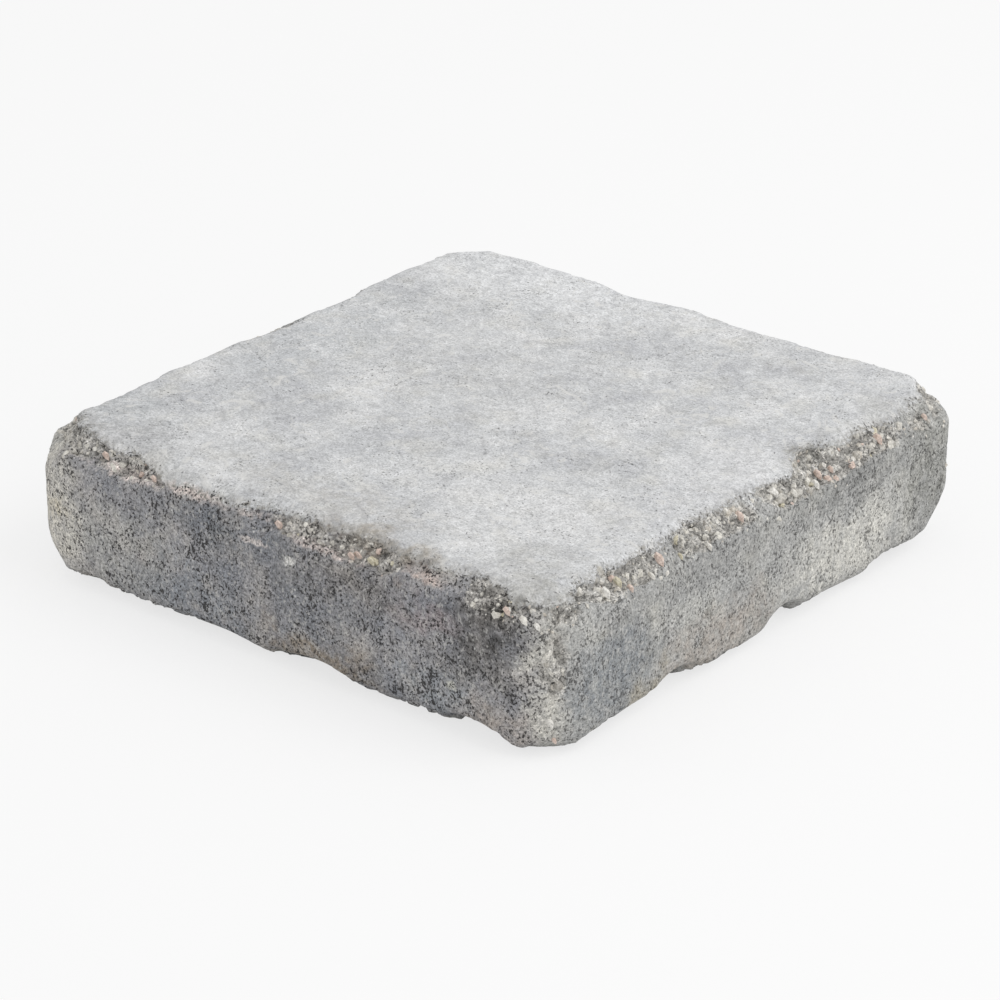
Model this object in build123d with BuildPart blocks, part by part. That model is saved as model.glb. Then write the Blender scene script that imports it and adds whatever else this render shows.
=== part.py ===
"""Tumbled concrete paving stone, 210 x 210 x 50 mm, lying on its bottom face.

The stone is pressed in a mould as one piece and then tumbled in a drum. The mould
leaves a flat top, a flat bottom and four upright sides. The drum rounds the upright
corners and both arrises, knocks the arrises and the corners into broad shallow
scallops that run into each other, and breaks deeper shell-shaped spalls out of them.

Frame: the origin is the middle of the bottom face, X and Y run along the sides and
+Z points up out of the wearing face. All sizes are in millimetres. The front side
faces -Y and the right side faces +X.
"""

import math
import os

from build123d import *

# The mould
length = 210.0  # along X
width = 210.0  # along Y
thickness = 50.0  # along Z

# Rounding of the upright corners in plan
corner_radii = {
    "front_left": 23.0,
    "front_right": 18.0,
    "back_right": 17.0,
    "back_left": 22.0,
}

# Rounding of the two arrises, before anything is knocked out of them
arris_radii = {"top": 10.0, "bottom": 7.0}

# Scallops: their spacing along an arris, the radius of the ball that fits in one, the
# lean of the blow above or below the horizon in degrees, and how much each may wander
scallop_pitch = 25.0
scallop_pitch_swing = 0.35  # a share of the pitch
scallop_radius = 140.0
scallop_radius_swing = 70.0
scallop_depth_swing = 0.8
scallop_lean = 53.0
scallop_lean_swing = 10.0

# Mean depth of the scallops on the top and the bottom arris of each side
scallop_depths = {
    "front": {"top": 1.2, "bottom": 1.5},
    "right": {"top": 1.5, "bottom": 1.4},
    "back": {"top": 2.2, "bottom": 1.5},
    "left": {"top": 4.3, "bottom": 1.9},
}

# Corner knocks: corner, arris, radius of the ball, depth below the rounded arris, lean
corner_knocks = [
    ("front_left", "top", 60.0, 5.6, 36),
    ("front_left", "bottom", 60.0, 5.4, -42),
    ("front_right", "top", 55.0, 2.4, 48),
    ("front_right", "bottom", 52.0, 2.2, -50),
    ("back_right", "top", 65.0, 4.2, 48),
    ("back_right", "bottom", 80.0, 9.0, -42),
    ("back_left", "top", 80.0, 5.0, 54),
    ("back_left", "bottom", 55.0, 3.0, -50),
]

# Spalls: side, arris, place along the side from its left end as seen from outside
# (a share of the side), radius of the shell, depth below the rounded arris, lean
spalls = [
    ("front", "bottom", 0.14, 24.0, 2.6, -50),
    ("front", "bottom", 0.58, 48.0, 3.7, -58),
    ("front", "bottom", 0.86, 34.0, 4.0, -54),
    ("front", "top", 0.17, 30.0, 2.6, 44),
    ("front", "top", 0.49, 16.0, 2.2, 36),
    ("front", "top", 0.70, 20.0, 2.6, 42),
    ("right", "bottom", 0.29, 22.0, 5.4, -54),
    ("right", "bottom", 0.545, 16.0, 6.2, -56),
    ("right", "bottom", 0.80, 26.0, 3.0, -50),
    ("right", "top", 0.20, 20.0, 2.4, 40),
    ("right", "top", 0.64, 30.0, 3.4, 52),
    ("back", "top", 0.60, 26.0, 4.0, 56),
    ("back", "top", 0.30, 15.0, 3.2, 50),
    ("back", "bottom", 0.28, 22.0, 3.6, -50),
    ("back", "bottom", 0.66, 30.0, 2.8, -54),
    ("left", "top", 0.36, 60.0, 5.8, 54),
    ("left", "bottom", 0.70, 20.0, 3.8, -48),
]


def side_frames():
    """Each side's outward heading, the distance to its face and the length of its run."""
    return {
        "front": (-90.0, width / 2, length),
        "right": (0.0, length / 2, width),
        "back": (90.0, width / 2, length),
        "left": (180.0, length / 2, width),
    }


def corner_signs(corner):
    """Which way the named corner lies from the middle, along X and along Y."""
    return (-1 if "left" in corner else 1, -1 if "front" in corner else 1)


def knock(outward, face_point, arris, radius, depth, lean):
    """Centre of a ball that bites that deep into a worn arris, struck along its lean."""
    rounding = arris_radii[arris]
    level = thickness - rounding if arris == "top" else rounding
    middle_of_round = face_point - outward * rounding + Vector(0, 0, level)
    tilt = math.radians(lean)
    blow = outward * math.cos(tilt) + Vector(0, 0, math.sin(tilt))
    return middle_of_round + blow * (rounding + radius - depth)


def side_knock(side, arris, share, radius, depth, lean):
    """Centre of a ball that bites a straight arris at a share of its side."""
    heading, reach, run = side_frames()[side]
    outward = Vector(1, 0, 0).rotate(Axis.Z, heading)
    along = Vector(0, 1, 0).rotate(Axis.Z, heading)
    return knock(outward, outward * reach + along * (run * (share - 0.5)), arris, radius, depth, lean)


def corner_knock(corner, arris, radius, depth, lean):
    """Centre of a ball that bites the arris in the middle of a rounded corner."""
    sign_x, sign_y = corner_signs(corner)
    rounding = corner_radii[corner]
    outward = Vector(sign_x, sign_y, 0).normalized()
    middle_of_arc = Vector(sign_x * (length / 2 - rounding), sign_y * (width / 2 - rounding), 0)
    return knock(outward, middle_of_arc + outward * rounding, arris, radius, depth, lean)


def wander(number, phase):
    """A repeatable wave between -1 and 1 that never falls into step with the scallops."""
    return 0.6 * math.sin(2.39996 * number + phase) + 0.4 * math.sin(5.1 * number + 2.7 * phase)


with BuildPart() as paving_stone:
    # The moulded block, with its upright corners rounded in plan
    with BuildSketch():
        Rectangle(length, width)
        for corner, radius in corner_radii.items():
            sign_x, sign_y = corner_signs(corner)
            sharp_corner = Vector(sign_x * length / 2, sign_y * width / 2)
            fillet(vertices().sort_by_distance(sharp_corner)[0], radius)
    extrude(amount=thickness)

    # The rounded arrises
    fillet(faces().sort_by(Axis.Z)[-1].edges(), arris_radii["top"])
    fillet(faces().sort_by(Axis.Z)[0].edges(), arris_radii["bottom"])

    # The scallops along every arris
    number = 0
    for side, (heading, reach, run) in side_frames().items():
        count = round(run / scallop_pitch) - 1
        for arris, mean_depth in scallop_depths[side].items():
            for step in range(count):
                number += 1
                share = (step + 1 + scallop_pitch_swing * wander(number, 0.4)) / (count + 1)
                radius = scallop_radius + scallop_radius_swing * wander(number, 1.9)
                depth = mean_depth + scallop_depth_swing * wander(number, 3.1)
                lean = scallop_lean + scallop_lean_swing * wander(number, 4.6)
                if arris == "bottom":
                    lean = -lean
                with Locations(side_knock(side, arris, share, radius, depth, lean)):
                    Sphere(radius, mode=Mode.SUBTRACT)

    # The knocked corners
    for corner, arris, radius, depth, lean in corner_knocks:
        with Locations(corner_knock(corner, arris, radius, depth, lean)):
            Sphere(radius, mode=Mode.SUBTRACT)

    # The spalls
    for side, arris, share, radius, depth, lean in spalls:
        with Locations(side_knock(side, arris, share, radius, depth, lean)):
            Sphere(radius, mode=Mode.SUBTRACT)

paving_stone.part.label = "paving_stone"
os.makedirs("parts", exist_ok=True)
export_step(paving_stone.part, "parts/paving_stone.step")
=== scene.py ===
import math

import bpy
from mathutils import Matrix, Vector


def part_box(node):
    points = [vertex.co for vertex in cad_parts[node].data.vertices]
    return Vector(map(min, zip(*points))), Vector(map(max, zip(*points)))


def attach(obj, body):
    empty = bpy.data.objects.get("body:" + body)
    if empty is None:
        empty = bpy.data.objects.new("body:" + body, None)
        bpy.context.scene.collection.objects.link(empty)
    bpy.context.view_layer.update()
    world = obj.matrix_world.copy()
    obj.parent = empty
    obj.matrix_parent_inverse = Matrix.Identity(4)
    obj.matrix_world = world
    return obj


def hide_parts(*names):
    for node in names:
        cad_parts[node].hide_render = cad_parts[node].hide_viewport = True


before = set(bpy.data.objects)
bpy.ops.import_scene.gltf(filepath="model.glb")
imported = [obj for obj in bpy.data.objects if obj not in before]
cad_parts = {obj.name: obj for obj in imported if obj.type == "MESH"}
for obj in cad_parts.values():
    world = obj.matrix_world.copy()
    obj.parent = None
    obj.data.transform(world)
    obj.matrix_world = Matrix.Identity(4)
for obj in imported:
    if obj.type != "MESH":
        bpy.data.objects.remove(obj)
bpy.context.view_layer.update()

# The tumbled paving stone is one cast piece. Its surface is finished here in three steps:
# the relief of the concrete as mesh, the grit that stands in the worn arrises as a second
# mesh, and the finishes of both as procedural materials. Every tree turns coordinates to
# millimetres first, so each length below is a real one.

MM = 0.001
NODE = "paving_stone"

stone_low, stone_high = (Vector(corner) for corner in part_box(NODE))
thickness = (stone_high.z - stone_low.z) / MM

# The mesh that carries the relief
REMESH_VOXEL = 0.78  # mm, fine enough for the grit
WELD_REACH = 0.01  # mm
STONE_TRIANGLES = 190000
RUBBED = 28  # rounds of smoothing that take the sharpness off the knocked edges
RUBBED_BY = 0.5  # how far each round goes

# The length of each pattern of the relief, in millimetres
PATTERNS = {
    "Wave length": 46.0,
    "Crumble length": 6.5,
    "Grit size": 2.4,
    "Sand size": 1.3,
    "Plucked spacing": 3.8,
    "Skin grain": 2.3,
    "Pore spacing": 3.4,
    "Ragged length": 7.5,
}
# With them, how deep each goes in from the mould's face, and how far below the top its
# skin and the bare band under it end
RELIEF = PATTERNS | {
    "Wave depth": 0.35,
    "Crumble depth": 1.3,
    "Skin step": 0.3,
    "Grit relief": 1.1,
    "Sand relief": 0.6,
    "Plucked depth": 1.4,
    "Skin depth": 0.2,
    "Pore radius": 0.85,
    "Pore depth": 0.8,
    "Skin ends": 2.4,
    "Ragged by": 5.2,
    "Bare down to": 8.0,
    "Bare on the front": 6.2,
}

# The stretches over which a surface comes in, from nothing to full, in millimetres
FRONT_SIDE = (-95.0, -101.0)  # along Y, towards the front face at -105
LEFT_OF_CORNER = (102.0, 95.0)  # along X, away from the right face at 105
PAST_SKIN = (-0.25, 0.25)  # past the ragged end of the skin
RIM_OF_SKIN = (-2.1, 0.1)
BARE_BAND = (-5.0, 3.0)  # above the lower end of the bare band
LOOSE_BAND = (-10.0, 1.0)
TOP_ARRIS = (11.0, 7.0)  # below the top
LOWER_ARRIS = (7.0, 3.0)  # above the bottom
LOWER_WEAR = (6.0, 1.5)

# Where the tumbling bared the grit: place and reach in millimetres, and how much it adds
BARED = [
    ((103, -66, 45), (8, 16, 14), 0.30),
    ((103, -28, 45), (8, 22, 14), 0.32),
    ((101, 24, 45), (12, 24, 14), 0.50),
    ((103, 64, 45), (8, 14, 14), 0.20),
    ((-86, -99, 42), (15, 15, 16), 0.40),
    ((-62, -104, 46), (14, 8, 8), 0.40),
    ((-43, -104, 47), (14, 8, 5), 0.35),
    ((8, -104, 47), (15, 8, 8), 0.60),
    ((36, -104, 46), (16, 8, 8), 0.65),
    ((84, -104, 45), (14, 8, 12), 0.65),
    ((101, -100, 26), (9, 9, 22), 0.15),
]
BARED_BY_CHANCE = 20.0  # mm, how far apart the other bared stretches lie

# Where the skin of the top comes further down over the arris, and by how many millimetres
WRAPPED = [
    ((100, -100, 46), (13, 13, 12), 1.5),
    ((-30, -104, 46), (26, 10, 10), 2.0),
    ((100, 29, 48), (12, 13, 10), -2.0),
    ((102, -38, 48), (8, 9, 10), -1.0),
    ((78, -103, 48), (9, 8, 8), -1.2),
    ((30, -103, 48), (12, 8, 8), -0.8),
    ((-88, -99, 48), (16, 14, 10), -1.6),
]

# The grit that stands in the worn arrises: widths and distance in millimetres, and the
# share of its width by which a grain is sunk
GRIT = {
    "Smallest": 0.9,
    "Largest": 3.9,
    "Closest": 1.25,
    "Sunk": 0.27,
}
GRIT_SEED = 7
GRAIN_SHAPES = 4
MOST_GRAINS = 400000.0  # to a square metre, before those that lie too close are left out
FEW_LARGE = 2.4  # the higher, the rarer the large grains

# The kinds of stone in the grit: where each begins on a scale of 0 to 1, and its colour
GRIT_KINDS = [
    (0.0, "#C0BDB6"), (0.20, "#D8D5CD"), (0.42, "#A5A199"), (0.52, "#E4E1D8"), (0.66, "#C9C2B7"),
    (0.76, "#E6E3DC"), (0.90, "#77736E"), (0.93, "#D6BBAE"), (0.96, "#C9C1A2"), (0.98, "#EDEBE6"),
]
SALMON, MOSSY, WHITE, PALE = 0.945, 0.97, 0.99, 0.80

# Grains that stand out by their colour: their place and width in millimetres, their kind
PICKED = [
    ((104, -51, 46.5), 4.4, SALMON), ((104, -66, 44), 2.6, SALMON), ((103, -12, 47), 3.6, SALMON),
    ((101, 28, 46), 3.4, SALMON), ((102, 33, 45), 2.4, SALMON), ((103, 58, 47), 3.8, SALMON),
    ((103, 82, 46), 2.6, SALMON), ((104, -76, 45), 3.8, WHITE), ((104, -68, 47.5), 3.4, MOSSY),
    ((104, -58, 45), 2.4, PALE), ((104, 12, 45), 2.8, PALE), ((103, 24, 44), 3.2, WHITE),
    ((104, -30, 44), 2.6, PALE), ((104, -42, 45), 2.2, MOSSY), ((88, -104, 46), 3.0, SALMON),
    ((94, -103, 44), 3.2, PALE), ((98, -101, 42), 2.6, WHITE), ((2, -104, 47), 3.2, SALMON),
    ((33, -104, 46), 2.6, SALMON), ((40, -104, 46), 2.8, MOSSY), ((-70, -103, 47), 3.0, SALMON),
    ((-48, -104, 47), 2.4, SALMON), ((102, -100, 12), 3.2, WHITE), ((103, -99, 5), 2.2, SALMON),
]

# Node kinds that are named often, and a range that eases in and out
MATH = "ShaderNodeMath"
VECTOR = "ShaderNodeVectorMath"
SPLIT = "ShaderNodeSeparateXYZ"
NOISE = "ShaderNodeTexNoise"
CELLS = "ShaderNodeTexVoronoi"
RANGE = "ShaderNodeMapRange"
MIX = "ShaderNodeMix"
EASED = {"interpolation_type": "SMOOTHSTEP"}


def linear(hexed):
    """A colour written as sRGB hex, as the linear values that a socket takes."""
    parts = [int(hexed[place:place + 2], 16) / 255 for place in (1, 3, 5)]
    return [part / 12.92 if part <= 0.04045 else ((part + 0.055) / 1.055) ** 2.4 for part in parts] + [1.0]


def add(tree, kind, sockets=None, out=0, **settings):
    """Adds a node, sets it, fills or links its sockets, and gives back one of its outputs."""
    node = tree.nodes.new(kind)
    for name, value in settings.items():
        setattr(node, name, value)
    for key, value in (sockets or {}).items():
        if isinstance(value, bpy.types.NodeSocket):
            tree.links.new(value, node.inputs[key])
        else:
            node.inputs[key].default_value = value
    return node.outputs[out] if node.outputs else None


def between(low, high):
    """The sockets of a map range that goes from 0 at low to 1 at high."""
    return {1: low, 2: high}


def patch(tree, mm, centre, reach, strength):
    """A soft spot about a place, that strong in its middle and gone just past its reach."""
    away = add(tree, VECTOR, {0: mm, 1: centre}, operation="SUBTRACT")
    shares = add(tree, VECTOR, {0: away, 1: reach}, operation="DIVIDE")
    far = add(tree, VECTOR, {0: shares}, out="Value", operation="LENGTH")
    return add(tree, RANGE, {0: far, **between(1.25, 0.35), 4: strength}, **EASED)


def geometry_tree(name, sizes):
    """An empty geometry tree with a named input for each size, and its two ends."""
    tree = bpy.data.node_groups.new(name, "GeometryNodeTree")
    tree.interface.new_socket("Geometry", in_out="INPUT", socket_type="NodeSocketGeometry")
    for size, value in sizes.items():
        tree.interface.new_socket(size, in_out="INPUT", socket_type="NodeSocketFloat").default_value = value
    tree.interface.new_socket("Geometry", in_out="OUTPUT", socket_type="NodeSocketGeometry")
    given = tree.nodes.new("NodeGroupInput").outputs
    result = tree.nodes.new("NodeGroupOutput").inputs[0]
    return tree, given, result


def use_tree(piece, tree, sizes):
    """Puts a geometry tree on a piece and sets its named inputs by their identifiers."""
    modifier = piece.modifiers.new(tree.name, "NODES")
    modifier.node_group = tree
    for socket in tree.interface.items_tree:
        if socket.in_out == "INPUT" and socket.name in sizes:
            modifier[socket.identifier] = sizes[socket.name]


def applied(piece, name):
    """The piece with its modifiers turned into a plain mesh, as a new object of that name."""
    graph = bpy.context.evaluated_depsgraph_get()
    mesh = bpy.data.meshes.new_from_object(piece.evaluated_get(graph))
    mesh.name = name
    finished = bpy.data.objects.new(name, mesh)
    bpy.context.collection.objects.link(finished)
    bpy.data.objects.remove(piece)
    return finished


def kept_in_the_mould(tree, mesh):
    """No point of the mesh lies outside the box of the moulded block."""
    position = add(tree, "GeometryNodeInputPosition")
    raised = add(tree, VECTOR, {0: position, 1: stone_low}, operation="MAXIMUM")
    inside = add(tree, VECTOR, {0: raised, 1: stone_high}, operation="MINIMUM")
    return add(tree, "GeometryNodeSetPosition", {"Geometry": mesh, "Position": inside})


def surfaces(tree, size, scale, mm, normal):
    """Which surface of the stone each point lies on, as values from 0 to 1 by name."""
    facing = add(tree, SPLIT, {0: normal}).node.outputs
    place = add(tree, SPLIT, {0: mm}).node.outputs
    below_top = add(tree, MATH, {0: thickness, 1: place[2]}, operation="SUBTRACT")
    level = add(tree, MATH, {0: facing[2]}, operation="ABSOLUTE")

    # The front side: its tones are darker, partly darker concrete and partly painted shade
    on_front = add(tree, RANGE, {0: place[1], **between(*FRONT_SIDE)}, **EASED)
    before_corner = add(tree, RANGE, {0: place[0], **between(*LEFT_OF_CORNER)}, **EASED)
    front = add(tree, MATH, {0: on_front, 1: before_corner}, operation="MULTIPLY")

    # The skin of the top wraps over the arris and ends along a ragged line
    ragged = add(tree, NOISE, {
        "Vector": mm, "Scale": scale["Ragged length"], "Detail": 3.0, "Roughness": 0.6})
    centred = add(tree, MATH, {0: ragged, 1: 0.5}, operation="SUBTRACT")
    wander = add(tree, MATH, {0: centred, 1: size["Ragged by"]}, operation="MULTIPLY")
    under_skin = add(tree, MATH, {0: below_top, 1: size["Skin ends"]}, operation="SUBTRACT")
    past_skin = add(tree, MATH, {0: under_skin, 1: wander}, operation="ADD")
    for centre, reach, further in WRAPPED:
        wrap = patch(tree, mm, centre, reach, further)
        past_skin = add(tree, MATH, {0: past_skin, 1: wrap}, operation="SUBTRACT")
    off_top = add(tree, RANGE, {0: past_skin, **between(*PAST_SKIN)})
    top = add(tree, MATH, {0: 1.0, 1: off_top}, operation="SUBTRACT")
    rim = add(tree, RANGE, {0: past_skin, **between(*RIM_OF_SKIN)}, **EASED)
    upright = add(tree, RANGE, {0: level, **between(0.8, 0.4)}, **EASED)
    side = add(tree, MATH, {0: upright, 1: off_top}, operation="MULTIPLY")

    # The arrises that can crumble: round the top, round the bottom and up the corners
    near_top = add(tree, RANGE, {0: below_top, **between(*TOP_ARRIS)})
    rounded = add(tree, RANGE, {0: level, **between(0.99, 0.93)})
    top_arris = add(tree, MATH, {0: near_top, 1: rounded}, operation="MULTIPLY")
    low_arris = add(tree, RANGE, {0: place[2], **between(*LOWER_ARRIS)})
    turned = add(tree, MATH, {0: facing[0], 1: facing[1]}, operation="MULTIPLY")
    both_ways = add(tree, MATH, {0: turned}, operation="ABSOLUTE")
    corner = add(tree, RANGE, {0: both_ways, **between(0.15, 0.50), 4: 0.65}, **EASED)
    both_arrises = add(tree, MATH, {0: top_arris, 1: low_arris}, operation="MAXIMUM")
    uprights = add(tree, MATH, {0: corner, 1: 0.5}, operation="MULTIPLY")
    arrises = add(tree, MATH, {0: both_arrises, 1: uprights}, operation="MAXIMUM")

    # Below the skin the grit lies bare in a band, narrow on the front, and here and there
    # in the other arrises
    band_end = add(tree, MIX, {0: front, 2: size["Bare down to"], 3: size["Bare on the front"]})
    above_end = add(tree, MATH, {0: band_end, 1: below_top}, operation="SUBTRACT")
    band = add(tree, RANGE, {0: above_end, **between(*BARE_BAND)}, **EASED)
    below_skin = add(tree, MATH, {0: band, 1: off_top}, operation="MULTIPLY")
    low_wear = add(tree, RANGE, {0: place[2], **between(*LOWER_WEAR), 4: 0.6}, **EASED)
    lower = add(tree, MATH, {0: corner, 1: low_wear}, operation="MAXIMUM")
    lower_side = add(tree, MATH, {0: lower, 1: off_top}, operation="MULTIPLY")
    widest = add(tree, MATH, {0: below_skin, 1: lower_side}, operation="MAXIMUM")
    chance = add(tree, NOISE, {"Vector": mm, "Scale": 1 / BARED_BY_CHANCE, "Detail": 2.0})
    least = add(tree, RANGE, {0: chance, **between(0.40, 0.62), 3: 0.25, 4: 0.85})
    held = add(tree, RANGE, {0: front, 3: 1.0, 4: 0.45})
    bareness = add(tree, MATH, {0: least, 1: held}, operation="MULTIPLY")
    for centre, reach, strength in BARED:
        spot = patch(tree, mm, centre, reach, strength)
        bareness = add(tree, MATH, {0: bareness, 1: spot}, operation="ADD")
    shape = add(tree, MATH, {0: widest, 1: bareness}, operation="MULTIPLY", use_clamp=True)
    spread = add(tree, MATH, {0: centred, 1: 0.9}, operation="MULTIPLY")
    outline = add(tree, MATH, {0: shape, 1: spread}, operation="ADD")
    worn = add(tree, RANGE, {0: outline, **between(0.28, 0.62)}, **EASED)

    # Round about that band single grains are loose, fewer of them on the front
    near_band = add(tree, RANGE, {0: above_end, **between(*LOOSE_BAND), 4: 0.6})
    by_side = add(tree, RANGE, {0: front, 3: 1.0, 4: 0.4})
    side_band = add(tree, MATH, {0: near_band, 1: by_side}, operation="MULTIPLY")
    fewer = add(tree, MATH, {0: side_band, 1: 0.7}, operation="MULTIPLY")
    around = add(tree, MATH, {0: fewer, 1: off_top}, operation="MULTIPLY")
    loose = add(tree, MATH, {0: worn, 1: around}, operation="MAXIMUM")
    return {"worn": worn, "top": top, "front": front, "rim": rim, "loose": loose, "side": side,
            "arrises": arrises, "low_arris": low_arris}


def relief_tree():
    """Turns the moulded block into worn concrete: all of its relief goes inwards."""
    tree, size, result = geometry_tree("worn_concrete_relief", RELIEF)
    position = add(tree, "GeometryNodeInputPosition")
    mm = add(tree, VECTOR, {0: position, "Scale": 1 / MM}, operation="SCALE")
    normal = add(tree, "GeometryNodeInputNormal")
    scale = {name: add(tree, MATH, {0: 1.0, 1: size[name]}, operation="DIVIDE") for name in PATTERNS}
    at = surfaces(tree, size, scale, mm, normal)
    worn = at["worn"]

    # Long waves of the whole stone, and the crumbled lumps of its arrises
    waves = add(tree, NOISE, {"Vector": mm, "Scale": scale["Wave length"], "Detail": 2.0})
    crumble = add(tree, NOISE, {
        "Vector": mm, "Scale": scale["Crumble length"], "Detail": 4.0, "Roughness": 0.62})
    knocked = add(tree, RANGE, {0: crumble, **between(0.45, 0.60)}, **EASED)
    by_wear = add(tree, RANGE, {0: worn, 3: 0.55, 4: 0.8})
    crumbly = add(tree, MIX, {0: at["low_arris"], 2: by_wear, 3: 1.0})
    lumps = add(tree, MATH, {0: knocked, 1: crumbly}, operation="MULTIPLY")
    crumbled = add(tree, MATH, {0: lumps, 1: at["arrises"]}, operation="MULTIPLY")

    # Grit and sand: broken grains stand at different heights, with the paste between them
    grit = add(tree, CELLS, {"Vector": mm, "Scale": scale["Grit size"], "Smoothness": 0.35}, out="Color",
               feature="SMOOTH_F1")
    grit_lot = add(tree, SPLIT, {0: grit}).node.outputs
    grit_gap = add(tree, RANGE, {0: grit_lot[0], **between(0.25, 0.8)}, **EASED)
    grit_worn = add(tree, MATH, {0: grit_gap, 1: worn}, operation="MULTIPLY")
    sand = add(tree, NOISE, {"Vector": mm, "Scale": scale["Sand size"], "Detail": 2.0})
    on_side = add(tree, MATH, {0: at["side"], 1: 0.35}, operation="MULTIPLY")
    sandy = add(tree, MATH, {0: worn, 1: on_side}, operation="MAXIMUM")
    sand_shown = add(tree, MATH, {0: sand, 1: sandy}, operation="MULTIPLY")

    # Hollows that plucked grains left in the worn concrete
    plucked = add(tree, CELLS, {"Vector": mm, "Scale": scale["Plucked spacing"]}).node.outputs
    plucked_lot = add(tree, SPLIT, {0: plucked["Color"]}).node.outputs
    chosen = add(tree, RANGE, {0: plucked_lot[0], **between(0.52, 0.60)})
    bowl = add(tree, RANGE, {0: plucked["Distance"], **between(0.40, 0.12)}, **EASED)
    hole = add(tree, MATH, {0: bowl, 1: chosen}, operation="MULTIPLY")
    plucked_loose = add(tree, MATH, {0: hole, 1: at["loose"]}, operation="MULTIPLY")

    # The skin that the mould left: fine grain and open pores, few on the top
    skin = add(tree, NOISE, {"Vector": mm, "Scale": scale["Skin grain"], "Detail": 2.0})
    whole = add(tree, MATH, {0: 1.0, 1: worn}, operation="SUBTRACT")
    skin_whole = add(tree, MATH, {0: skin, 1: whole}, operation="MULTIPLY")
    pores = add(tree, CELLS, {"Vector": mm, "Scale": scale["Pore spacing"]}).node.outputs
    pore_lot = add(tree, SPLIT, {0: pores["Color"]}).node.outputs
    widths = add(tree, RANGE, {0: pore_lot[0], 3: 0.3, 4: 1.0})
    radius = add(tree, MATH, {0: size["Pore radius"], 1: widths}, operation="MULTIPLY")
    outer = add(tree, MATH, {0: radius, 1: scale["Pore spacing"]}, operation="MULTIPLY")
    inner = add(tree, MATH, {0: outer, 1: 0.35}, operation="MULTIPLY")
    pore = add(tree, RANGE, {0: pores["Distance"], **between(outer, inner)}, **EASED)
    rare = add(tree, RANGE, {0: pore_lot[1], **between(0.95, 0.97)})
    seldom_on_top = add(tree, MATH, {0: rare, 1: at["top"]}, operation="MULTIPLY")
    porous = add(tree, MATH, {0: at["side"], 1: seldom_on_top}, operation="ADD")
    pore_shown = add(tree, MATH, {0: pore, 1: porous}, operation="MULTIPLY")

    # Everything added up, and pushed inwards; the worn concrete lies a step lower
    depth = 0.0
    for share, most in ((waves, "Wave depth"), (crumbled, "Crumble depth"), (worn, "Skin step"),
                        (grit_worn, "Grit relief"), (sand_shown, "Sand relief"),
                        (plucked_loose, "Plucked depth"), (skin_whole, "Skin depth"),
                        (pore_shown, "Pore depth")):
        part = add(tree, MATH, {0: share, 1: size[most]}, operation="MULTIPLY")
        depth = add(tree, MATH, {0: depth, 1: part}, operation="ADD")
    inwards = add(tree, MATH, {0: depth, 1: -MM}, operation="MULTIPLY")
    offset = add(tree, VECTOR, {0: normal, "Scale": inwards}, operation="SCALE")

    # What the finishes and the grit need to know later stays on the mesh
    # Where the finish paints shade: plucked hollows, pores and the crevices between the grit
    deepest = add(tree, MATH, {0: plucked_loose, 1: pore_shown}, operation="MAXIMUM")
    crevice = add(tree, MATH, {0: grit_worn, 1: 0.75}, operation="MULTIPLY")
    hollow = add(tree, MATH, {0: deepest, 1: crevice}, operation="MAXIMUM")
    mesh = size["Geometry"]
    for name, value in (("worn", worn), ("top", at["top"]), ("front", at["front"]), ("hollow", hollow),
                        ("rim", at["rim"]), ("loose", at["loose"])):
        mesh = add(tree, "GeometryNodeStoreNamedAttribute", {"Geometry": mesh, "Name": name, "Value": value},
                   data_type="FLOAT", domain="POINT")
    mesh = add(tree, "GeometryNodeSetPosition", {"Geometry": mesh, "Offset": offset})
    mesh = kept_in_the_mould(tree, mesh)
    mesh = add(tree, "GeometryNodeSetShadeSmooth", {"Geometry": mesh})
    tree.links.new(mesh, result)
    return tree


def grit_shapes(tree):
    """Crushed grains, a millimetre across, from balls that noise has knocked about."""
    shapes = tree.nodes.new("GeometryNodeGeometryToInstance")
    for number in range(GRAIN_SHAPES):
        ball = add(tree, "GeometryNodeMeshIcoSphere", {"Subdivisions": 1, "Radius": 0.5 * MM})
        position = add(tree, "GeometryNodeInputPosition")
        knocks = add(tree, NOISE, {"W": 3.7 * number, "Vector": position, "Scale": 1.3 / MM}, out=1,
                     noise_dimensions="4D")
        centred = add(tree, VECTOR, {0: knocks, 1: (0.5, 0.5, 0.5)}, operation="SUBTRACT")
        knock = add(tree, VECTOR, {0: centred, "Scale": 0.8 * MM}, operation="SCALE")
        grain = add(tree, "GeometryNodeSetPosition", {"Geometry": ball, "Offset": knock})
        tree.links.new(grain, shapes.inputs[0])
    return shapes.outputs[0]


def picked_places():
    """A mesh of loose points where the picked grains go, with their widths and tones."""
    places = bpy.data.meshes.new("picked_places")
    places.from_pydata([Vector(centre) * MM for centre, width, kind in PICKED], [], [])
    for name, column in (("width", 1), ("tone", 2)):
        values = places.attributes.new(name, "FLOAT", "POINT").data
        values.foreach_set("value", [pick[column] for pick in PICKED])
    return bpy.data.objects.new("picked_places", places)


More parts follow.
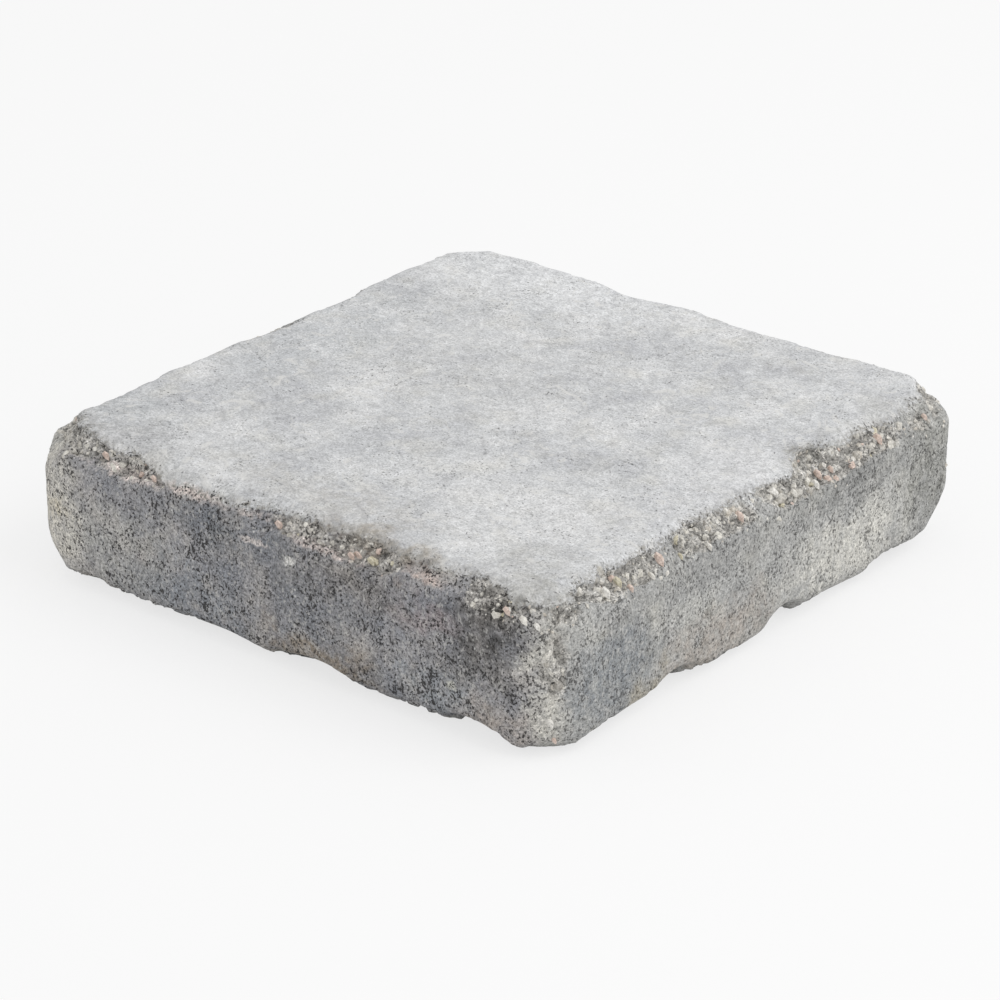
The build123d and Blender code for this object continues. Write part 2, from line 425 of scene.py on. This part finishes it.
def grit_tree(material, places):
    """Sets crushed grit into the worn concrete, and the picked grains where they belong."""
    tree, size, result = geometry_tree("grit_in_the_arrises", GRIT)
    loose = add(tree, "GeometryNodeInputNamedAttribute", {"Name": "loose"}, data_type="FLOAT")
    bare = add(tree, RANGE, {0: loose, **between(0.20, 1.0)})
    closest = add(tree, MATH, {0: size["Closest"], 1: MM}, operation="MULTIPLY")
    spots = add(tree, "GeometryNodeDistributePointsOnFaces", {
        "Mesh": size["Geometry"], "Distance Min": closest, "Density Max": MOST_GRAINS,
        "Density Factor": bare, "Seed": GRIT_SEED}, distribute_method="POISSON")
    luck = add(tree, "FunctionNodeRandomValue", {"Seed": GRIT_SEED + 1}, out=1, data_type="FLOAT")
    few_large = add(tree, MATH, {0: luck, 1: FEW_LARGE}, operation="POWER")
    full_width = add(tree, RANGE, {0: few_large, 3: size["Smallest"], 4: size["Largest"]})
    smaller = add(tree, RANGE, {0: loose, **between(0.1, 0.9), 3: 0.65, 4: 1.0})
    any_width = add(tree, MATH, {0: full_width, 1: smaller}, operation="MULTIPLY")
    any_kind = add(tree, "FunctionNodeRandomValue", {"Seed": GRIT_SEED + 4}, out=1, data_type="FLOAT")
    for name, value in (("width", any_width), ("tone", any_kind)):
        spots = add(tree, "GeometryNodeStoreNamedAttribute", {
            "Geometry": spots, "Name": name, "Value": value}, data_type="FLOAT", domain="POINT")

    # Each of them is sunk by a share of its width
    width = add(tree, "GeometryNodeInputNamedAttribute", {"Name": "width"}, data_type="FLOAT")
    surface_normal = add(tree, "GeometryNodeInputNormal")
    out_of_stone = add(tree, "GeometryNodeSampleNearestSurface", {
        "Mesh": size["Geometry"], "Value": surface_normal}, data_type="FLOAT_VECTOR")
    sunk = add(tree, MATH, {0: width, 1: size["Sunk"]}, operation="MULTIPLY")
    down = add(tree, MATH, {0: sunk, 1: -MM}, operation="MULTIPLY")
    offset = add(tree, VECTOR, {0: out_of_stone, "Scale": down}, operation="SCALE")
    set_in = add(tree, "GeometryNodeSetPosition", {"Geometry": spots, "Offset": offset})

    # The picked places, moved onto the surface, so that these grains stand half out
    picked = add(tree, "GeometryNodeObjectInfo", {"Object": places}, out="Geometry")
    picked_spots = add(tree, "GeometryNodeMeshToPoints", {"Mesh": picked})
    nearest = add(tree, "GeometryNodeProximity", {0: size["Geometry"]}, target_element="FACES")
    on_stone = add(tree, "GeometryNodeSetPosition", {"Geometry": picked_spots, "Position": nearest})
    joined = tree.nodes.new("GeometryNodeJoinGeometry")
    tree.links.new(on_stone, joined.inputs[0])
    tree.links.new(set_in, joined.inputs[0])

    # All are turned and stretched at random
    stretch = add(tree, "FunctionNodeRandomValue", {
        0: (0.8, 0.7, 0.7), 1: (1.25, 1.0, 1.0), "Seed": GRIT_SEED + 2}, data_type="FLOAT_VECTOR")
    shape = add(tree, VECTOR, {0: stretch, "Scale": width}, operation="SCALE")
    turn = add(tree, "FunctionNodeRandomValue", {
        1: (math.tau, math.tau, math.tau), "Seed": GRIT_SEED + 3}, data_type="FLOAT_VECTOR")
    grains = add(tree, "GeometryNodeInstanceOnPoints", {
        "Points": joined.outputs[0], "Instance": grit_shapes(tree), "Pick Instance": True,
        "Rotation": turn, "Scale": shape})
    real = add(tree, "GeometryNodeRealizeInstances", {"Geometry": grains})
    kept = kept_in_the_mould(tree, real)
    finished = add(tree, "GeometryNodeSetMaterial", {"Geometry": kept, "Material": material})
    tree.links.new(finished, result)
    return tree


# The tones of the concrete's surfaces, each from dark to light, and of what lies on them; the top's are
# lighter partly by painted light from above, the front's darker partly by painted shade
TOP_TONES_AND_LIGHT = ("#BFC0C3", "#D0D1D2", "#E2E2E2")
FRONT_TONES_AND_SHADE = ("#80838A", "#9E9D9F", "#BAB5B0")
SIDE_TONES = ("#9F9F9E", "#AFAFAD", "#BFBEB9")
BARE_TONES = ("#A5A19A", "#CAC6BF", "#E6E3DD")
FILM_TONES = ("#979289", "#BFBBB3", "#DFDCD5")
WARM = "#F9F5EA"
# The darker tone along the rim of the top skin
RIM_DARKENING = "#96938D"
DARK_WISPS = "#97979A"
LIME = "#E2E1DE"
SCRATCHED = "#DAD8D3"
FLECKS = "#CFCDC9"
# The colour of the painted shade in pores and hollows
HOLLOW_SHADE = "#2E2C2B"

# The length of each pattern of the finishes, in millimetres
TOP_CLOUD, SIDE_CLOUD, BARE_CLOUD, WARM_CLOUD, FILM_CLOUD = 20.0, 15.0, 2.6, 13.0, 1.2
FRAY = 1.1  # the frayed ends of the skin
BLUR, BLUR_BY = 9.0, 26.0  # how the outlines of the patches wander, and how far
FINE_BLUR, FINE_BLUR_BY = 2.2, 4.0  # the same for small patches
BREAK = 2.6  # what breaks a patch up
SAND, FINE = 0.75, 0.6
DAB, WISP, SPECK = 3.0, 8.0, 2.7
SWIRL, SCRATCH, DRAW = 24.0, 7.0, 1.3  # the curves that scratches follow, how long they are
SWARM = 9.0  # how far apart the swarms of pores lie
PORES = ((0.85, 0.385), (1.3, 0.335))  # their spacing, and a level: the higher, the more
SAND_BUMP = 0.9
GRAIN_BLOTCH = 0.5

# Patches on the stone: place and reach in millimetres, colour, how strong
STAINS = [
    # a pinkish field under the front arris
    ((60, -105, 35), (16, 6, 7), "#9B9091", 0.60),
    # the front side: beige left end, blue-grey fields, brown ones
    ((-92, -100, 20), (20, 20, 28), "#DAD6CC", 0.90),
    ((-88, -104, 24), (7, 10, 5), "#C8BC9F", 0.35),
    ((-58, -105, 18), (26, 6, 18), "#B8B7B2", 0.60),
    ((-30, -105, 12), (26, 6, 16), "#8F9399", 0.70),
    ((-14, -105, 38), (40, 6, 8), "#73777D", 0.60),
    ((18, -105, 24), (28, 6, 12), "#85878B", 0.50),
    ((20, -105, 9), (26, 8, 8), "#94897B", 0.80),
    ((34, -105, 36), (24, 6, 8), "#6D6A68", 0.60),
    ((78, -105, 24), (18, 8, 10), "#706E6C", 0.65),
    ((62, -105, 12), (20, 6, 10), "#9BA0A5", 0.60),
    ((84, -105, 8), (16, 8, 7), "#B0A69D", 0.60),
    # the front corner: a band of pale bare grit
    ((101, -101, 26), (8, 8, 30), "#CFCCC4", 0.85),
    # the right side: shaded under the arris, beige low down, blue near the corner
    ((105, -40, 36), (6, 44, 7), "#939392", 0.60),
    ((105, 42, 38), (6, 40, 8), "#8C8C8A", 0.65),
    ((105, -26, 12), (6, 34, 12), "#ACA49C", 0.75),
    ((105, -58, 7), (6, 12, 7), "#AFA48A", 0.60),
    ((105, 40, 16), (6, 36, 14), "#D2D0C9", 0.90),
    ((105, -76, 18), (6, 24, 18), "#868A8E", 0.75),
    ((103, 84, 26), (6, 18, 26), "#898983", 0.60),
    # the top: lighter fields, bluish ones, and darker ones along its edges
    ((58, -56, 50), (44, 22, 6), "#DEDEDE", 0.60),
    ((86, -6, 50), (18, 44, 6), "#DADADB", 0.55),
    ((-20, 8, 50), (46, 26, 6), "#CFCFCE", 0.40),
    ((-74, 0, 50), (20, 60, 6), "#B9BCBF", 0.45),
    ((-84, -78, 50), (20, 16, 6), "#ABAEB1", 0.55),
    ((-56, 50, 50), (20, 12, 6), "#C2C3C4", 0.35),
    ((-50, 84, 50), (60, 24, 6), "#E6E7E8", 0.75),
    ((-98, 0, 50), (9, 90, 6), "#A6A8AA", 0.50),
    ((12, -86, 50), (50, 12, 6), "#C6C4C0", 0.55),
    ((84, -84, 50), (18, 16, 6), "#BEBDBA", 0.50),
    ((97, -97, 49), (17, 17, 8), "#B1B0AC", 0.70),
    ((-70, -92, 50), (30, 10, 6), "#B0B0B1", 0.60),
    ((98, 66, 50), (8, 34, 5), "#C0C0BE", 0.45),
]

# Dirt that lies on the bare grit too, and a painted edge highlight under the front lip
GRIME_AND_EDGE_HIGHLIGHTS = [
    # the brown smudge on the top beside the front arris, and the arris below it
    ((44, -98, 50), (30, 7, 5), "#A9A195", 0.65),
    ((24, -104, 46.5), (26, 5, 4), "#7C7063", 0.75),
    ((52, -104, 46.5), (12, 5, 4), "#80736A", 0.60),
    # the dark patch left of the front corner
    ((82, -104, 38), (16, 8, 14), "#4C4A48", 0.76),
    # behind the chip in the right arris
    ((97, 30, 49), (7, 12, 5), "#94938D", 0.40),
    # pale pink lines under the lip of the front arris: a painted edge highlight
    ((-60, -104, 44.0), (18, 5, 1.95), "#E6DAD4", 1.0),
    ((-30, -104, 45.2), (15, 5, 1.7), "#E0D4CE", 0.95),
    ((-4, -104, 45.2), (9, 4, 1.4), "#DDD0CA", 0.90),
    ((22, -104, 43.2), (16, 4, 1.4), "#D9CCC6", 0.85),
    ((58, -104, 45.8), (11, 4, 1.7), "#CDBCB4", 0.75),
    # pale chips in the front side
    ((-5, -105, 38), (6, 3, 1.1), "#E6DDD8", 0.95),
    ((9, -105, 36), (2.7, 3, 1.9), "#E0DEDA", 0.95),
    ((70, -105, 15.5), (2.2, 3, 1.5), "#D4D3C8", 0.90),
]
SMALL = 2.0  # mm, patches lower than this are blurred less


def new_material(name):
    """A material of that name with its shader, and object coordinates in millimetres."""
    material = bpy.data.materials.new(name)
    material.use_nodes = True
    tree = material.node_tree
    shader = tree.nodes["Principled BSDF"]
    coordinates = add(tree, "ShaderNodeTexCoord", out="Object")
    mm = add(tree, VECTOR, {0: coordinates, "Scale": 1 / MM}, operation="SCALE")
    return material, tree, shader, mm


def mottled(tree, mm, tones, length, detail=3.0, spread=0.2):
    """Cloudy colour between three tones, in patches of that length."""
    clouds = add(tree, NOISE, {"Vector": mm, "Scale": 1 / length, "Detail": detail, "Roughness": 0.6})
    ramp = tree.nodes.new("ShaderNodeValToRGB")
    tree.links.new(clouds, ramp.inputs[0])
    stops = ramp.color_ramp.elements
    stops[0].position = 0.5 - spread
    stops[1].position = 0.5 + spread
    stops.new(0.5)
    for stop, tone in zip(stops, tones):
        stop.color = linear(tone)
    return ramp.outputs[0]


def tinted(tree, colour, share, tone):
    """The colour with that share of another laid over it."""
    return add(tree, MIX, {0: share, 6: colour, 7: tone}, out=2, data_type="RGBA")


def stained(tree, colour, patches, places, breaks):
    """The colour with those patches laid on it, each broken up by fine noise. The small
    ones keep nearer to their place."""
    near, far = places
    for centre, reach, tone, strength in patches:
        mm = near if min(reach) < SMALL else far
        even_spot = patch(tree, mm, centre, reach, strength)
        spot = add(tree, MATH, {0: even_spot, 1: breaks}, operation="MULTIPLY", use_clamp=True)
        colour = tinted(tree, colour, spot, linear(tone))
    return colour


def dressed(tree, mm, at, edge):
    """The colour of the stone's surfaces, with the patches and the dirt that lie on them, a painted edge
    highlight under the front lip and a darker rim to the skin; the lighter top and the darker front are
    partly painted light and shade.
    """
    # The top's tones carry painted light from above and the front's painted shade, besides their own colour
    top_skin_and_light = mottled(tree, mm, TOP_TONES_AND_LIGHT, TOP_CLOUD, 8.0)
    front_skin_and_shade = mottled(tree, mm, FRONT_TONES_AND_SHADE, SIDE_CLOUD, 7.0)
    other_skin = mottled(tree, mm, SIDE_TONES, SIDE_CLOUD, 7.0)
    bare = mottled(tree, mm, BARE_TONES, BARE_CLOUD, 4.0)
    sides = tinted(tree, other_skin, at["front"], front_skin_and_shade)
    skins = tinted(tree, sides, at["top"], top_skin_and_light)

    # Faint warm clouds
    warmth = add(tree, NOISE, {"Vector": mm, "Scale": 1 / WARM_CLOUD, "W": 2.0, "Detail": 4.0},
                 noise_dimensions="4D")
    warm = add(tree, RANGE, {0: warmth, **between(0.52, 0.68), 4: 0.35})
    warmer = add(tree, MIX, {0: 1.0, 6: skins, 7: linear(WARM)}, out=2, data_type="RGBA",
                 blend_type="MULTIPLY")
    skins = tinted(tree, skins, warm, warmer)

    # The patches, with their outlines blurred by noise, finely for the small ones
    places = []
    for length, reach, detail in ((FINE_BLUR, FINE_BLUR_BY, 3.0), (BLUR, BLUR_BY, 4.0)):
        blur = add(tree, NOISE, {"Vector": mm, "Scale": 1 / length, "Detail": detail}, out=1)
        centred = add(tree, VECTOR, {0: blur, 1: (0.5, 0.5, 0.5)}, operation="SUBTRACT")
        shift = add(tree, VECTOR, {0: centred, "Scale": reach}, operation="SCALE")
        places.append(add(tree, VECTOR, {0: mm, 1: shift}, operation="ADD"))
    broken = add(tree, NOISE, {"Vector": mm, "Scale": 1 / BREAK, "Detail": 3.0})
    breaks = add(tree, RANGE, {0: broken, **between(0.35, 0.62), 3: 0.55, 4: 1.2})
    colour = stained(tree, skins, STAINS, places, breaks)
    bared = add(tree, MATH, {0: at["worn"], 1: 0.62}, operation="MULTIPLY")
    colour = tinted(tree, colour, bared, bare)
    colour = stained(tree, colour, GRIME_AND_EDGE_HIGHLIGHTS, places, breaks)

    # The rim of the skin is darker, in spots
    rim_on_top = add(tree, MATH, {0: at["rim"], 1: at["top"]}, operation="MULTIPLY")
    rim_broken = add(tree, MATH, {0: rim_on_top, 1: breaks}, operation="MULTIPLY")
    spots = add(tree, RANGE, {0: edge, **between(0.44, 0.56), 3: 1.1, 4: 0.1})
    rim_darkening = add(tree, MATH, {0: rim_broken, 1: spots}, operation="MULTIPLY", use_clamp=True)
    return tinted(tree, colour, rim_darkening, linear(RIM_DARKENING))


def sanded(tree, mm, colour, at, fine):
    """The colour with every grain of sand a little lighter or darker than the next, most
    of all on the bare grit and least on the top, which has soft dabs as well."""
    sand = add(tree, CELLS, {"Vector": mm, "Scale": 1 / SAND}, out="Color")
    sand_lot = add(tree, SPLIT, {0: sand}).node.outputs
    speckle = add(tree, MATH, {0: sand_lot[0], 1: 0.24, 2: -0.12}, operation="MULTIPLY_ADD")
    fine_speckle = add(tree, MATH, {0: fine, 1: 1.3, 2: -0.65}, operation="MULTIPLY_ADD")
    both = add(tree, MATH, {0: speckle, 1: fine_speckle}, operation="ADD")
    by_side = add(tree, MIX, {0: at["front"], 2: 1.7, 3: 2.1})
    beside_top = add(tree, MIX, {0: at["worn"], 2: by_side, 3: 2.7})
    strength = add(tree, MIX, {0: at["top"], 2: beside_top, 3: 1.05})
    swing = add(tree, MATH, {0: both, 1: strength, 2: 1.0}, operation="MULTIPLY_ADD")
    dabs = add(tree, NOISE, {"Vector": mm, "Scale": 1 / DAB, "Detail": 3.0, "Roughness": 0.65})
    dab = add(tree, RANGE, {0: dabs, **between(0.25, 0.75), 3: 0.86, 4: 1.14})
    dab_top = add(tree, MIX, {0: at["top"], 2: 1.0, 3: dab})
    both_swings = add(tree, MATH, {0: swing, 1: dab_top}, operation="MULTIPLY")
    return add(tree, VECTOR, {0: colour, "Scale": both_swings}, operation="SCALE")


def limed(tree, mm, colour, top):
    """The colour with wisps of white lime on the top, dark ones between them, and white
    specks everywhere."""
    wisps = add(tree, NOISE, {
        "Vector": mm, "Scale": 1 / WISP, "Detail": 6.0, "Roughness": 0.62, "Distortion": 1.6})
    dark_wisp = add(tree, RANGE, {0: wisps, **between(0.44, 0.28), 4: 0.40}, **EASED)
    dark_top = add(tree, MATH, {0: dark_wisp, 1: top}, operation="MULTIPLY")
    colour = tinted(tree, colour, dark_top, linear(DARK_WISPS))
    wisp = add(tree, RANGE, {0: wisps, **between(0.55, 0.67), 4: 0.65}, **EASED)
    wisp_top = add(tree, MATH, {0: wisp, 1: top}, operation="MULTIPLY")
    specks = add(tree, CELLS, {"Vector": mm, "Scale": 1 / SPECK}).node.outputs
    speck_lot = add(tree, SPLIT, {0: specks["Color"]}).node.outputs
    speck_size = add(tree, RANGE, {0: speck_lot[0], **between(0.50, 1.0), 4: 0.19})
    speck_core = add(tree, MATH, {0: speck_size, 1: 0.4}, operation="MULTIPLY")
    speck = add(tree, RANGE, {0: specks["Distance"], **between(speck_size, speck_core), 4: 0.75})
    lime = add(tree, MATH, {0: wisp_top, 1: speck}, operation="MAXIMUM")
    return tinted(tree, colour, lime, linear(LIME))


def scratched(tree, mm, colour, top):
    """The colour with hair-fine pale scratches, and faint lines that the mould drew down
    the sides."""
    swirl = add(tree, NOISE, {"Vector": mm, "Scale": 1 / SWIRL, "Detail": 0.0})
    off_line = add(tree, MATH, {0: swirl, 1: 0.5}, operation="SUBTRACT")
    near_line = add(tree, MATH, {0: off_line}, operation="ABSOLUTE")
    hair = add(tree, RANGE, {0: near_line, **between(0.008, 0.002)})
    here = add(tree, NOISE, {"Vector": mm, "Scale": 1 / SCRATCH, "W": 4.0, "Detail": 2.0},
               noise_dimensions="4D")
    short = add(tree, RANGE, {0: here, **between(0.60, 0.64), 4: 0.4})
    scratch = add(tree, MATH, {0: hair, 1: short}, operation="MULTIPLY")
    colour = tinted(tree, colour, scratch, linear(SCRATCHED))
    drawn_out = add(tree, VECTOR, {0: mm, 1: (1.0, 1.0, 0.05)}, operation="MULTIPLY")
    draws = add(tree, NOISE, {"Vector": drawn_out, "Scale": 1 / DRAW, "Detail": 2.0})
    draw = add(tree, RANGE, {0: draws, **between(0.25, 0.75), 3: 0.92, 4: 1.08})
    draw_side = add(tree, MIX, {0: top, 2: draw, 3: 1.0})
    return add(tree, VECTOR, {0: colour, "Scale": draw_side}, operation="SCALE")


def pored(tree, mm, colour, at):
    """The colour with small open pores of no set shape, gathered in swarms, seldom on the
    top and thicker at the rim of its skin; they and the hollows and crevices of the relief
    are darkened with painted shade, because they are deep. The sides have pale flecks too."""
    drawn = add(tree, VECTOR, {0: mm, 1: (1.0, 1.0, 0.8)}, operation="MULTIPLY")
    swarm = add(tree, NOISE, {"Vector": mm, "Scale": 1 / SWARM, "Detail": 2.0})
    rim_pores = add(tree, RANGE, {0: at["rim"], 3: 0.085, 4: -0.005})
    side_pores = add(tree, RANGE, {0: at["front"], 3: 0.008, 4: 0.0})
    fewer = add(tree, MIX, {0: at["top"], 2: side_pores, 3: rim_pores})
    fine_lumps, wide_lumps = (
        add(tree, NOISE, {"Vector": drawn, "Scale": 1 / spacing, "Detail": 2.0, "Roughness": 0.55})
        for spacing, most in PORES)
    seen = 0.0
    for lumps, (spacing, most) in zip((fine_lumps, wide_lumps), PORES):
        in_swarm = add(tree, MATH, {0: swarm, 1: 0.28, 2: lumps}, operation="MULTIPLY_ADD")
        level = add(tree, MATH, {0: in_swarm, 1: fewer}, operation="ADD")
        pore = add(tree, RANGE, {0: level, **between(most + 0.15, most + 0.12)})
        seen = add(tree, MATH, {0: seen, 1: pore}, operation="MAXIMUM")
    fleck = add(tree, RANGE, {0: wide_lumps, **between(0.60, 0.66), 4: 0.5})
    fleck_side = add(tree, MIX, {0: at["top"], 2: fleck, 3: 0.0})
    colour = tinted(tree, colour, fleck_side, linear(FLECKS))
    # Painted shade in the pores, stronger on the front
    on_front = add(tree, RANGE, {0: at["front"], 3: 0.64, 4: 0.88})
    pore_shade = add(tree, MATH, {0: seen, 1: on_front}, operation="MULTIPLY")
    # Painted shade in the hollows and crevices that the relief left
    hollow_shade = add(tree, MATH, {0: at["hollow"], 1: 0.60}, operation="MULTIPLY")
    dark = add(tree, MATH, {0: pore_shade, 1: hollow_shade}, operation="MAXIMUM")
    return tinted(tree, colour, dark, linear(HOLLOW_SHADE)), seen


def concrete():
    """Pressed concrete: a matt cement skin over sand, dusty pale on top where the mix was
    smoothed, blue-grey and full of small open pores on the sides that slid out of the mould.
    The top's pale tones carry painted light from above and the front's darker ones painted
    shade, and the pores and hollows are darkened with painted shade."""
    material, tree, shader, mm = new_material("pressed_concrete")
    at = {name: add(tree, "ShaderNodeAttribute", out="Fac", attribute_name=name)
          for name in ("worn", "top", "front", "hollow", "rim")}

    # The skin of the top and the bare grit end along frayed lines
    edge = add(tree, NOISE, {"Vector": mm, "Scale": 1 / FRAY, "Detail": 3.0, "Roughness": 0.7})
    frayed = add(tree, MATH, {0: edge, 1: 1.4, 2: -0.7}, operation="MULTIPLY_ADD")
    for name, low, high in (("worn", 0.30, 0.70), ("top", 0.40, 0.60)):
        shifted = add(tree, MATH, {0: at[name], 1: frayed}, operation="ADD")
        at[name] = add(tree, RANGE, {0: shifted, **between(low, high)})

    fine = add(tree, NOISE, {"Vector": mm, "Scale": 1 / FINE, "Detail": 3.0, "Roughness": 0.75})
    colour = dressed(tree, mm, at, edge)
    colour = sanded(tree, mm, colour, at, fine)
    colour = limed(tree, mm, colour, at["top"])
    colour = scratched(tree, mm, colour, at["top"])
    colour, pores = pored(tree, mm, colour, at)
    tree.links.new(colour, shader.inputs["Base Color"])
    shader.inputs["Roughness"].default_value = 0.93
    shader.inputs["IOR"].default_value = 1.45

    # Relief too fine for the mesh, as heights in millimetres
    sand_far = add(tree, CELLS, {"Vector": mm, "Scale": 1 / SAND_BUMP})
    sand_high = add(tree, MATH, {0: sand_far, 1: -0.16}, operation="MULTIPLY")
    fine_high = add(tree, MATH, {0: fine, 1: 0.14, 2: sand_high}, operation="MULTIPLY_ADD")
    calm = add(tree, RANGE, {0: at["top"], 3: 1.0, 4: 0.65})
    height = add(tree, MATH, {0: fine_high, 1: calm}, operation="MULTIPLY")
    deep = add(tree, MATH, {0: pores, 1: -0.35, 2: height}, operation="MULTIPLY_ADD")
    bump = add(tree, "ShaderNodeBump", {"Height": deep, "Distance": MM, "Strength": 1.0})
    tree.links.new(bump, shader.inputs["Normal"])
    return material


def crushed_grit():
    """Crushed river gravel: mostly grey stone, some white quartz, dark basalt, salmon
    granite and ochre flint, dulled by a film of cement."""
    material, tree, shader, mm = new_material("crushed_grit")
    tone = add(tree, "ShaderNodeAttribute", out="Fac", attribute_name="tone")
    kinds = tree.nodes.new("ShaderNodeValToRGB")
    tree.links.new(tone, kinds.inputs[0])
    kinds.color_ramp.interpolation = "CONSTANT"
    stops = kinds.color_ramp.elements
    stops[0].color = linear(GRIT_KINDS[0][1])
    stops[1].position = GRIT_KINDS[1][0]
    stops[1].color = linear(GRIT_KINDS[1][1])
    for place, colour in GRIT_KINDS[2:]:
        stops.new(place).color = linear(colour)
    film = mottled(tree, mm, FILM_TONES, FILM_CLOUD, 3.0, 0.12)
    filmed = tinted(tree, kinds.outputs[0], 0.4, film)
    blotch = add(tree, NOISE, {"Vector": mm, "Scale": 1 / GRAIN_BLOTCH, "Detail": 2.0})
    swing = add(tree, MATH, {0: blotch, 1: 1.2, 2: 0.50}, operation="MULTIPLY_ADD")
    colour = add(tree, VECTOR, {0: filmed, "Scale": swing}, operation="SCALE")
    tree.links.new(colour, shader.inputs["Base Color"])
    shader.inputs["Roughness"].default_value = 0.8
    shader.inputs["IOR"].default_value = 1.5
    bump = add(tree, "ShaderNodeBump", {"Height": blotch, "Distance": 0.12 * MM, "Strength": 1.0})
    tree.links.new(bump, shader.inputs["Normal"])
    return material


def make_stone():
    """The cast block with its relief, in place of the plain solid."""
    block = bpy.data.objects.new("block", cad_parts[NODE].data.copy())
    bpy.context.collection.objects.link(block)
    weld = block.modifiers.new("weld", "WELD")
    weld.merge_threshold = WELD_REACH * MM
    even = block.modifiers.new("even mesh", "REMESH")
    even.mode = "VOXEL"
    even.voxel_size = REMESH_VOXEL * MM
    rounded = block.modifiers.new("rubbed round", "SMOOTH")
    rounded.factor = RUBBED_BY
    rounded.iterations = RUBBED
    use_tree(block, relief_tree(), RELIEF)
    stone = applied(block, "worn_stone")
    thin = stone.modifiers.new("thin out", "DECIMATE")
    stone.data.calc_loop_triangles()
    thin.ratio = min(1.0, STONE_TRIANGLES / len(stone.data.loop_triangles))
    stone = applied(stone, "tumbled_stone")
    stone.data.materials.clear()
    stone.data.materials.append(concrete())
    return stone


def make_grit(stone):
    """The grit in the arrises, set on a copy of the finished stone."""
    bed = bpy.data.objects.new("bed", stone.data.copy())
    bpy.context.collection.objects.link(bed)
    places = picked_places()
    use_tree(bed, grit_tree(crushed_grit(), places), GRIT)
    grit = applied(bed, "exposed_grit")
    bpy.data.objects.remove(places)
    return grit


# The stage, in metres
FLOOR_SIDE = 8.0
FLOOR_DROP = 0.0002  # so that the floor and the bottom of the stone don't share a plane
FLOOR_GREY = "#F4F4F4"
FLOOR_WHITE = 0.72  # the share of plain white in the floor that the camera sees
SKY = 0.72  # the strength of the light from all around
SOFTBOX_SIDE = 1.2
SOFTBOX_PLACE = (1.0, 0.35, 1.25)
SOFTBOX_POWER = 9.0  # watts


def seen_directly(tree):
    """One where the camera sees a surface, also in a mirror, and nought for other light."""
    path = add(tree, "ShaderNodeLightPath").node.outputs
    return add(tree, MATH, {0: path["Is Camera Ray"], 1: path["Is Glossy Ray"]}, operation="MAXIMUM")


def stage():
    """A plain pale floor and a wide soft light."""
    # The floor is white to the camera, and keeps some of the stone's shadow
    bpy.ops.mesh.primitive_plane_add(size=FLOOR_SIDE, location=(0, 0, -FLOOR_DROP))
    floor = bpy.context.object
    floor.name = "floor"
    paint = bpy.data.materials.new("white_floor")
    paint.use_nodes = True
    tree = paint.node_tree
    tree.nodes.clear()
    part = add(tree, MATH, {0: seen_directly(tree), 1: FLOOR_WHITE}, operation="MULTIPLY")
    matt = add(tree, "ShaderNodeBsdfDiffuse", {"Color": linear(FLOOR_GREY)})
    white = add(tree, "ShaderNodeEmission", {"Color": linear("#FFFFFF"), "Strength": 1.0})
    mixed = add(tree, "ShaderNodeMixShader", {0: part, 1: matt, 2: white})
    add(tree, "ShaderNodeOutputMaterial", {"Surface": mixed})
    floor.data.materials.append(paint)

    world = bpy.data.worlds.new("studio")
    bpy.context.scene.world = world
    world.use_nodes = True
    tree = world.node_tree
    tree.nodes.clear()
    strength = add(tree, RANGE, {0: seen_directly(tree), 3: SKY, 4: 1.0})
    sky = add(tree, "ShaderNodeBackground", {"Color": linear("#FFFFFF"), "Strength": strength})
    add(tree, "ShaderNodeOutputWorld", {"Surface": sky})

    lamp = bpy.data.lights.new("softbox", "AREA")
    lamp.shape = "RECTANGLE"
    lamp.size = SOFTBOX_SIDE
    lamp.size_y = SOFTBOX_SIDE
    lamp.energy = SOFTBOX_POWER
    box = bpy.data.objects.new("softbox", lamp)
    box.location = SOFTBOX_PLACE
    box.rotation_euler = (-box.location).to_track_quat("-Z", "Y").to_euler()
    bpy.context.collection.objects.link(box)


def place_camera():
    """The camera that was fitted to the outline of the stone in the photograph."""
    around, above = math.radians(39.5), math.radians(24.92)
    distance = 1.185
    aim = Vector((13.95, -15.37, 25.0)) * MM
    focal_pixels, frame_pixels, sensor = 3891.0, 1000.0, 36.0
    back = Vector((math.sin(around) * math.cos(above), -math.cos(around) * math.cos(above), math.sin(above)))
    camera = bpy.data.cameras.new("photo_camera")
    camera.sensor_width = sensor
    camera.lens = focal_pixels / frame_pixels * sensor
    holder = bpy.data.objects.new("photo_camera", camera)
    holder.location = aim + back * distance
    holder.rotation_euler = back.to_track_quat("Z", "Y").to_euler()
    bpy.context.collection.objects.link(holder)
    bpy.context.scene.camera = holder


bpy.context.scene.view_settings.view_transform = "Standard"
place_camera()
stage()

stone = make_stone()
grit = make_grit(stone)
for piece in (stone, grit):
    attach(piece, "root")
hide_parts(NODE)
